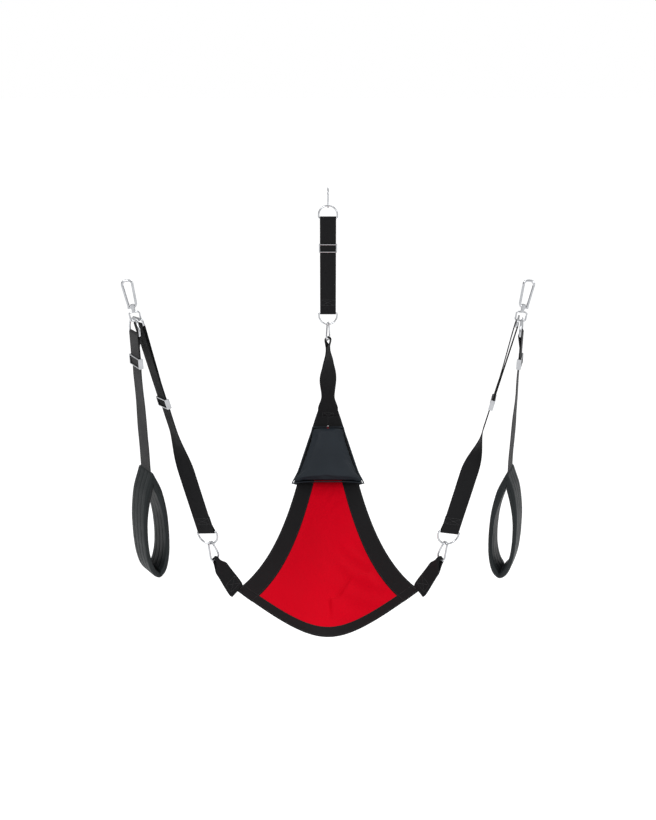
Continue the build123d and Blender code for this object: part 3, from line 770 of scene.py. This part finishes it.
def front_band():
    rows, upper_seam, lower_seam = [], [], []
    count = 120
    along, last = 0.0, None
    for r in range(count + 1):
        v = 2 * r / count - 1
        here = cloth_point(1, v)
        along += (here - last).length if last else 0
        last = here
        row = []
        for column in COLUMNS:
            u = mix(FRONT_BAND_U, 1.0, (column + 1) / 2)
            normal = cloth_normal(u, v)
            row.append((cloth_point(u, v) + normal * 0.35, normal, column * FRONT_BAND_WIDTH / 2, along))
        rows.append(row[::-1])
        for path, share in ((upper_seam, 0.07), (lower_seam, 0.93)):
            u = mix(FRONT_BAND_U, 1.0, share)
            normal = cloth_normal(u, v)
            path.append((cloth_point(u, v) + normal * (BAND_T / 2 + 0.65), normal))
    piece = cloth_piece("front_border", rows, BAND_T)
    finish_piece(piece, BLACK_WEBBING)
    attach(piece, "hammock")
    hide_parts("front_edge_band")
    thread = Thread(2.8, 1.2, 0.35)
    thread.seam(upper_seam)
    thread.seam(lower_seam)
    thread.make("front_border_stitches", "hammock")


# ---- loops that the snaps hold ----
def loop_layers(place, depth, widths, part, twist=None, cup=0.0):
    """Stations down one face, over the tip and down the other: widths(depth) gives the half width."""
    faces = []
    for face in (1, -1):
        run = []
        count = max(8, round(depth / 5))
        for i in range(count + 1):
            z = -depth * (count - i) / count if face > 0 else -depth * i / count
            run.append((face * part(-z), z))
        faces.append(run)
    over = [(part(0) * math.cos(a), part(0) * math.sin(a)) for a in [math.pi * i / 10 for i in range(1, 10)]]
    stations = []
    for offset, z in faces[0] + over + faces[1]:
        angle = math.radians(twist(max(-z, 0.0)) if twist else 90)
        across = Vector((math.cos(angle), math.sin(angle), 0))
        out = Vector((math.sin(angle), -math.cos(angle), 0))
        spot = out * offset + Vector((0, 0, z))
        stations.append((place @ spot, (place.to_3x3() @ across).normalized(), widths(max(-z, 0.0)),
                         cup * (1 if offset >= 0 else -1) * bell(-z, 20, 25)))
    return stations


def layer_gap(depth):
    """Half the distance between a loop's two layers, down from its tip."""
    return mix(LOOP_OUTER_R - 0.4, 1.05, smooth(depth / 28))


def table_value(table, x):
    for (x0, y0), (x1, y1) in zip(table, table[1:]):
        if x <= x1:
            return mix(y0, y1, smooth((x - x0) / (x1 - x0)))
    return table[-1][1]


def top_loop():
    length = TOP_PIVOT_Z - NECK_Z - 1.8
    place = frame_at((0, 0, TOP_PIVOT_Z), turned(SNAP_TURN - 90), (0, 0, 1))
    table = [(0, 6), (30, 15), (75, 28.5), (111, 31), (188, 21), (length, 32), (length + 40, 36)]

    def part(depth):
        return mix(layer_gap(depth), 2.7, smooth((depth - length + 25) / 20))

    def twist(depth):
        return 90 - SNAP_TURN * smooth((depth - LOOP_HEAD) / (length - LOOP_HEAD) / 0.9)
    stations = loop_layers(place, length + 22, lambda d: table_value(table, d), part, twist, cup=1.2)
    piece = webbing("top_loop_webbing", stations)
    finish_piece(piece, BLACK_WEBBING)
    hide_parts("top_loop")
    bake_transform(piece)
    thread = Thread()
    low = Matrix.Translation((0, 0, NECK_Z - 20))
    for face in (1, -1):
        thread.box_and_cross(low, 17, 12, -4, face * 3.9, face)
    thread.make("neck_stitches", "hammock")


def corner_loop(side):
    tip, _ = loop_tip(side)
    bar, _ = side_bar(side)
    turn = math.radians(LOWER_RING_TURN[side] - RING_TURN[side] + SNAP_TURN)
    wire = (bar.to_3x3() @ Matrix.Rotation(turn, 3, "Z")) @ Vector((1, 0, 0))
    reach = CORNER - tip
    place = frame_at(tip, wire.cross(reach), -reach)
    length = reach.length
    table = [(0, 6), (30, 21), (length - 6, 24.5), (length + 12, 20)]
    stations = loop_layers(place, length + 4, lambda d: table_value(table, d), layer_gap, cup=1.6)
    piece = webbing(side + "_corner_webbing", stations, side == "right")
    finish_piece(piece, BLACK_WEBBING)
    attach(piece, "hammock")
    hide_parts(side + "_corner_loop")
    thread = Thread()
    for face in (1, -1):
        frame_x = place @ Matrix.Rotation(math.radians(90), 4, "Z")
        thread.box_and_cross(frame_x, 18, -length + 34, -length + 8, face * 2.2, face)
    thread.make(side + "_corner_stitches", "hammock", side == "right")


# ---- head cushion ----
CUSHION_T = 17.0


def cushion_frame(share, across):
    """Middle surface of the cushion and its normal, upper side out."""
    u = 0.11 + share * 0.31
    edge = along_curve(EDGE, u)
    down = along_curve(EDGE, u + 0.01) - edge
    down = Vector((0, down.y, down.z)).normalized()
    normal = Vector((0, down.z, -down.y))
    lift = BAND_T + 1.2 + 9
    half = 49 + share ** 1.2 * (106 - 49)
    # the lower corners are drawn out and curl back a little
    half += 5 * smooth((share - 0.8) / 0.2)
    point = Vector((across * half, edge.y, edge.z)) + normal * lift
    droop = 3.0 * smooth((share - 0.75) / 0.25) * across ** 4
    point += down * droop - normal * (5.0 * across ** 4)
    return point, normal


def rounded(x, power):
    return (1 - min(abs(x), 1.0) ** power) ** (1 / power)


def head_cushion():
    """Stuffed pad: crowned, pinched at its seams, and shallowly creased where it bends."""
    rows_count, columns = 60, 48
    points, faces = [], []
    for face in (1, -1):
        for r in range(rows_count + 1):
            share = r / rows_count
            for c in range(columns + 1):
                across = 2 * c / columns - 1
                point, normal = cushion_frame(share, across)
                crown = rounded(across, 2.6) ** 0.8 * rounded(2 * share - 1, 5.0) ** 0.8
                crease = 0.7 * noise.noise(Vector((across * 2.2, share * 4.0, face * 2.0)))
                half = 1.3 + (CUSHION_T / 2 - 1.3) * crown + crease * crown
                points.append(point + normal * (face * half))
    stride = columns + 1
    layer = (rows_count + 1) * stride
    for base, order in ((0, -1), (layer, 1)):
        for r in range(rows_count):
            for c in range(columns):
                a = base + r * stride + c
                faces.append((a, a + 1, a + stride + 1, a + stride)[::order])
    rim = [c for c in range(columns)] + [columns + r * stride for r in range(rows_count)]
    rim += [rows_count * stride + columns - c for c in range(columns)]
    rim += [(rows_count - r) * stride for r in range(rows_count)]
    for a, b in zip(rim, rim[1:] + rim[:1]):
        faces.append((a, b, layer + b, layer + a))
    piece = new_piece("cushion_pad", points, faces)
    mesh = bmesh.new()
    mesh.from_mesh(piece.data)
    bmesh.ops.recalc_face_normals(mesh, faces=mesh.faces)
    mesh.to_mesh(piece.data)
    mesh.free()
    swell(piece, 0.005, 4.0, 0.006)
    finish_piece(piece, CUSHION_SKIN)
    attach(piece, "hammock")
    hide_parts("head_cushion")

    edge = [cushion_frame(step / 50, -1) for step in range(51)]
    edge += [cushion_frame(1, 2 * step / 50 - 1) for step in range(1, 51)]
    edge += [cushion_frame(1 - step / 50, 1) for step in range(1, 51)]
    edge += [cushion_frame(0, 1 - 2 * step / 50) for step in range(1, 51)]
    welt = piping("cushion_piping", [point for point, _ in edge], 1.9)
    finish_piece(welt, CUSHION_SKIN)
    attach(welt, "hammock")


def piping(name, path, radius, mirrored=False, closed=True):
    """Round welt along a path of points."""
    points, faces = [], []
    count = len(path)
    for index, point in enumerate(path):
        before, after = path[index - 1], path[(index + 1) % count]
        along = (after - before).normalized()
        side = along.cross(Vector((0.13, 0.21, 0.97))).normalized()
        up = side.cross(along)
        for k in range(8):
            a = math.tau * k / 8
            points.append(point + (side * math.cos(a) + up * math.sin(a)) * radius)
    for index in range(count if closed else count - 1):
        nxt = (index + 1) % count
        for k in range(8):
            j = (k + 1) % 8
            faces.append((index * 8 + k, index * 8 + j, nxt * 8 + j, nxt * 8 + k))
    return new_piece(name, points, faces, None, mirrored)


def swell(piece, voxel, pressure, cap):
    """Blows a stuffed piece up like a filled cushion, moving no point further than cap metres."""
    bpy.context.view_layer.objects.active = piece
    for obj in bpy.context.selected_objects:
        obj.select_set(False)
    piece.select_set(True)
    remesh = piece.modifiers.new("even", "REMESH")
    remesh.mode = "VOXEL"
    remesh.voxel_size = voxel
    remesh.use_smooth_shade = True
    bpy.ops.object.modifier_apply(modifier=remesh.name)
    start = [v.co.copy() for v in piece.data.vertices]
    cloth = piece.modifiers.new("fill", "CLOTH")
    cloth.settings.use_pressure = True
    cloth.settings.uniform_pressure_force = pressure
    cloth.settings.effector_weights.gravity = 0
    cloth.settings.quality = 5
    scene = bpy.context.scene
    for number in range(1, 21):
        scene.frame_set(number)
    shaped = piece.evaluated_get(bpy.context.evaluated_depsgraph_get()).data
    moved = [v.co.copy() for v in shaped.vertices]
    piece.modifiers.remove(cloth)
    scene.frame_set(1)
    for vertex, old, new in zip(piece.data.vertices, start, moved):
        move = new - old
        if move.length > cap:
            move *= cap / move.length
        vertex.co = old + move
    smoother = piece.modifiers.new("soft", "SUBSURF")
    smoother.levels = 1
    bpy.ops.object.modifier_apply(modifier=smoother.name)
    for polygon in piece.data.polygons:
        polygon.use_smooth = True


def back_flap():
    """Back of the cushion's sleeve, under the hammock."""
    rows = []
    along, last = 0.0, None
    for r in range(51):
        share = r / 50
        u = 0.11 + share * 0.31
        half = 49 + share * 57
        edge_x = along_curve(EDGE, u).x
        here = cloth_point(u, 0)
        along += (here - last).length if last else 0
        last = here
        row = []
        for c in range(41):
            across = 2 * c / 40 - 1
            v = across * half / edge_x
            normal = cloth_normal(u, v)
            drop = BAND_T / 2 + 1.2 + 1.5 + 0.8 * noise.noise(Vector((across * 3, share * 5, 7)))
            row.append((cloth_point(u, v) - normal * drop, normal, across * half, along))
        rows.append(row)
    piece = cloth_piece("sleeve_back", rows, 2.0)
    finish_piece(piece, CUSHION_SKIN)
    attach(piece, "hammock")
    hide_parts("cushion_back_flap")


# ---- foot loops ----
def smooth_loop(points, count):
    """Closed run through points by chord length, evenly sampled."""
    def at(t):
        i = int(t) % len(points)
        f = t - int(t)
        p0, p1, p2, p3 = (points[(i + k - 1) % len(points)] for k in range(4))
        return 0.5 * ((2 * p1) + (p2 - p0) * f + (2 * p0 - 5 * p1 + 4 * p2 - p3) * f * f
                      + (3 * p1 - p0 - 3 * p2 + p3) * f ** 3)
    dense = [at(k * len(points) / 800) for k in range(801)]
    lengths = [0.0]
    for a, b in zip(dense, dense[1:]):
        lengths.append(lengths[-1] + (b - a).length)
    result = []
    index = 0
    for n in range(count):
        wanted = lengths[-1] * n / count
        while lengths[index + 1] < wanted:
            index += 1
        share = (wanted - lengths[index]) / max(lengths[index + 1] - lengths[index], 1e-9)
        result.append(dense[index].lerp(dense[index + 1], share))
    return result


def cuff_outline(inset, high, count):
    """Outline of a foot loop in its own YZ plane, from its pointed top round to the top again."""
    low = -CUFF_HEIGHT + inset
    table = [(0.0, 0.0), (0.06, 0.26), (0.17, 0.62), (0.30, 0.84), (0.42, 0.96), (0.54, 1.0), (0.64, 1.0),
             (0.76, 0.94), (0.86, 0.8), (0.93, 0.62), (0.975, 0.38), (1.0, 0.0)]
    right = []
    for t, w in table:
        y = max(CUFF_HALF * w - inset * min(1.0, w * 2.4), 0.0)
        right.append(Vector((0, y, high + (low - high) * t)))
    left = [Vector((0, -p.y, p.z)) for p in reversed(right[1:-1])]
    return smooth_loop(right + left, count)


def foot_loop(side):
    """Padded loop with sewn channels that run round it, and a welt on both rims."""
    mirrored = side == "right"
    bar = joint_place(side + "_stirrup_sideways")
    if mirrored:
        bar.x = -bar.x
    place = frame_at((bar.x, bar.y, CUFF_Z), turned(STIRRUP_TURN[side] - 90), (0, 0, 1))
    place = place @ Matrix.Rotation(math.radians(CUFF_TURN[side] - STIRRUP_TURN[side]), 4, "Z")
    count = 168
    outer = cuff_outline(0.6, -0.6, count)
    inner = cuff_outline(CUFF_PAD - 0.6, -CUFF_POINT + 1.5, count)
    half = CUFF_BAND / 2 - 1.2
    channels = (-0.5, 0.0, 0.5)
    profile = []
    columns = 40
    for c in range(columns + 1):
        x = 2 * c / columns - 1
        groove = sum(bell(x, channel, 0.045) for channel in channels)
        roll = 1 - rounded(x, 6.0)
        profile.append((x * half, 0.35 + 1.5 * groove + 4.6 * roll))
    points, faces = [], []
    for index in range(count):
        o, i = outer[index], inner[index]
        depth = (o - i).length
        direction = (o - i).normalized()
        pucker = 0.5 * noise.noise(Vector((index * 0.35, 0, 5)))
        ring = [o - direction * min(d + pucker * 0.4, depth * 0.45) + Vector((x, 0, 0)) for x, d in profile]
        ring += [i + direction * min(d * 0.8, depth * 0.45) + Vector((x, 0, 0)) for x, d in reversed(profile)]
        points += [place @ p for p in ring]
    size = 2 * (columns + 1)
    for index in range(count):
        nxt = (index + 1) % count
        for k in range(size):
            j = (k + 1) % size
            faces.append((index * size + k, nxt * size + k, nxt * size + j, index * size + j))
    piece = new_piece(side + "_foot_loop", points, faces, None, mirrored)
    mesh = bmesh.new()
    mesh.from_mesh(piece.data)
    bmesh.ops.recalc_face_normals(mesh, faces=mesh.faces)
    mesh.to_mesh(piece.data)
    mesh.free()
    finish_piece(piece, CUFF_SKIN)
    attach(piece, side + "_stirrup")
    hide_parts(side + "_stirrup_cuff")
    for end in (-1, 1):
        rim = [place @ (o.lerp(i, 0.5) + Vector((end * (half + 0.2), 0, 0))) for o, i in zip(outer, inner)]
        welt = piping(side + ("_front" if end > 0 else "_back") + "_welt", rim, 1.3, mirrored)
        finish_piece(welt, CUFF_SKIN)
        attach(welt, side + "_stirrup")
    thread = Thread(2.6, 1.3, 0.3)
    for channel in channels:
        path = []
        for index in range(8, count - 7):
            o, i = outer[index], inner[index]
            out = (o - i).normalized()
            path.append((place @ (o - out * 1.5 + Vector((channel * half, 0, 0))),
                         (place.to_3x3() @ out).normalized()))
        thread.seam(path)
    thread.make(side + "_channel_stitches", side + "_stirrup", mirrored)


# ---- metal ----
def plate_the_metal():
    for name, node in frame["nodes"].items():
        metal = SPRING_STEEL if name.endswith("_spring") else BRIGHT_PLATE
        if any(word in name for word in ("hook", "snap", "ring", "slider")):
            for slot in node.material_slots:
                slot.material = metal


# ---- studio ----
def studio():
    mesh = bpy.data.meshes.new("floor")
    reach, level = 40.0, -2.3
    corners = [(-reach, -reach, level), (reach, -reach, level), (reach, reach, level), (-reach, reach, level)]
    mesh.from_pydata(corners, [], [(0, 1, 2, 3)])
    floor = bpy.data.objects.new("floor", mesh)
    bpy.context.collection.objects.link(floor)
    paint, tree, shader = new_material("Pale floor", (0.93, 0.93, 0.93), 0.9)
    speckle = tree.nodes.new("ShaderNodeTexNoise")
    speckle.inputs["Scale"].default_value = 3
    tree.links.new(ramp(tree, speckle.outputs["Fac"], (0.91, 0.91, 0.915), (0.95, 0.95, 0.95)),
                   shader.inputs["Base Color"])
    shader.inputs["Emission Color"].default_value = (1, 1, 1, 1)
    shader.inputs["Emission Strength"].default_value = 0.3
    mesh.materials.append(paint)

    world = bpy.data.worlds.new("soft room")
    bpy.context.scene.world = world
    world.use_nodes = True
    background = world.node_tree.nodes["Background"]
    background.inputs["Strength"].default_value = 1.0
    tree = world.node_tree
    direction = tree.nodes.new("ShaderNodeTexCoord").outputs["Generated"]
    split = tree.nodes.new("ShaderNodeSeparateXYZ")
    tree.links.new(direction, split.inputs["Vector"])
    height = maths(tree, "MAXIMUM", split.outputs["Z"], 0.0)
    seen = tree.nodes.new("ShaderNodeLightPath").outputs["Is Camera Ray"]
    glow = maths(tree, "MAXIMUM", seen, spread(tree, height, 0.28, 1.15))
    tree.links.new(ramp(tree, glow, (0, 0, 0), (1, 1, 1)), background.inputs["Color"])

    lamps = [("key", (-1.6, -2.6, 1.6), 1.6, 42),
             ("fill", (2.4, -2.0, 0.6), 1.4, 22),
             ("back", (0.6, 2.4, 1.6), 1.4, 22)]
    for name, spot, size, power in lamps:
        light = bpy.data.lights.new(name, "AREA")
        light.shape = "DISK"
        light.size = size
        light.energy = power
        lamp = bpy.data.objects.new(name, light)
        lamp.location = spot
        lamp.rotation_mode = "QUATERNION"
        lamp.rotation_quaternion = (Vector((0, -0.33, -0.6)) - Vector(spot)).to_track_quat("-Z", "Y")
        bpy.context.collection.objects.link(lamp)

    lens = bpy.data.cameras.new("camera")
    sensor, distance = 36, 2.62
    lens.sensor_width = sensor
    lens.lens = 936 / 820 * sensor
    camera = bpy.data.objects.new("camera", lens)
    tilt = math.radians(22)
    target = Vector((0, -0.330, -0.558))
    back = Vector((0, -math.cos(tilt), math.sin(tilt)))
    camera.location = target + back * distance
    camera.rotation_mode = "QUATERNION"
    camera.rotation_quaternion = (-back).to_track_quat("-Z", "Y")
    bpy.context.collection.objects.link(camera)
    bpy.context.scene.camera = camera
    bpy.context.scene.view_settings.view_transform = "Standard"


studio()
plate_the_metal()
rear_strap()
for side in SIDES:
    side_strap(side)
    stirrup_strap(side)
    edge_band(side)
    corner_loop(side)
    foot_loop(side)
seat_panel()
front_band()
top_loop()
head_cushion()
back_flap()
